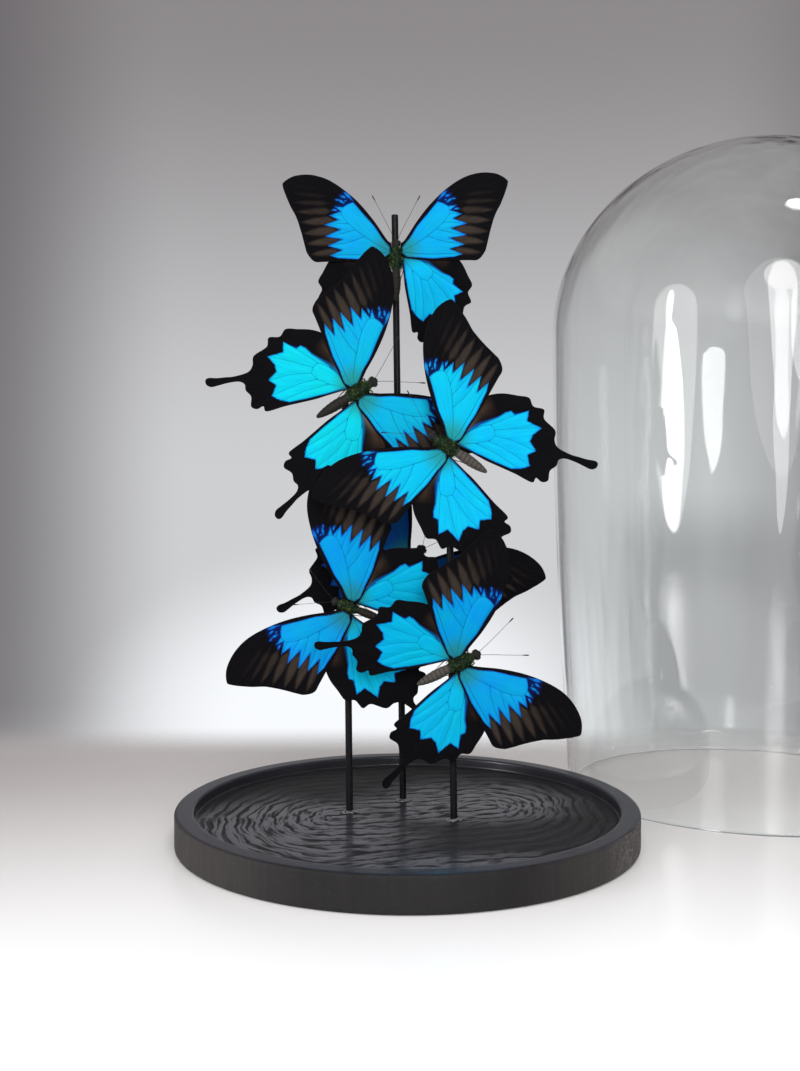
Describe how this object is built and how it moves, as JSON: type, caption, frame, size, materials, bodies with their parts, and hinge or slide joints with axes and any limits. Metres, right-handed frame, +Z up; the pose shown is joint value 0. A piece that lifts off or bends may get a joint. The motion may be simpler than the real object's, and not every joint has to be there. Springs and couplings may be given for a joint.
{
  "type": "butterflies in a glass dome",
  "caption": "Blue swallowtail butterflies mounted on thin black rods in a round recessed wooden base, with a clear glass dome lifted off and standing beside it.",
  "frame": {"origin": "centre of the wooden base's underside, on the table", "axes": "+Z up, -Y the side the butterflies' upper sides face, +X from the base towards the lifted dome"},
  "size_m": [0.45, 0.345, 0.3885],
  "materials": {
    "wood": "black stained, satin, open grain",
    "glass": "clear, fire polished rim",
    "rods": "satin black",
    "glue": "dried clear glue, whitish",
    "insect_body": "dark chitin with short green and black hair",
    "wings": "iridescent blue scales with velvet black borders"
  },
  "bodies": {
    "root": {"base": "wood", "glass_dome": "glass", "rod_left": "rods", "rod_middle": "rods", "rod_right": "rods", "foot_glue_left": "glue", "foot_glue_middle": "glue", "foot_glue_right": "glue", "top_body": "insect_body", "top_glue": "glue", "top_forewing_left": "wings", "top_forewing_right": "wings", "top_hindwing_left": "wings", "top_hindwing_right": "wings", "upper_left_body": "insect_body", "upper_left_glue": "glue", "upper_left_forewing_left": "wings", "upper_left_forewing_right": "wings", "upper_left_hindwing_left": "wings", "upper_left_hindwing_right": "wings", "centre_right_body": "insect_body", "centre_right_glue": "glue", "centre_right_forewing_left": "wings", "centre_right_forewing_right": "wings", "centre_right_hindwing_left": "wings", "centre_right_hindwing_right": "wings", "lower_left_body": "insect_body", "lower_left_glue": "glue", "lower_left_forewing_left": "wings", "lower_left_forewing_right": "wings", "lower_left_hindwing_left": "wings", "lower_left_hindwing_right": "wings", "bottom_right_body": "insect_body", "bottom_right_glue": "glue", "bottom_right_forewing_left": "wings", "bottom_right_forewing_right": "wings", "bottom_right_hindwing_left": "wings", "bottom_right_hindwing_right": "wings", "rear_body": "insect_body", "rear_glue": "glue", "rear_forewing_left": "wings", "rear_forewing_right": "wings", "rear_hindwing_left": "wings", "rear_hindwing_right": "wings"}
  },
  "joints": []
}
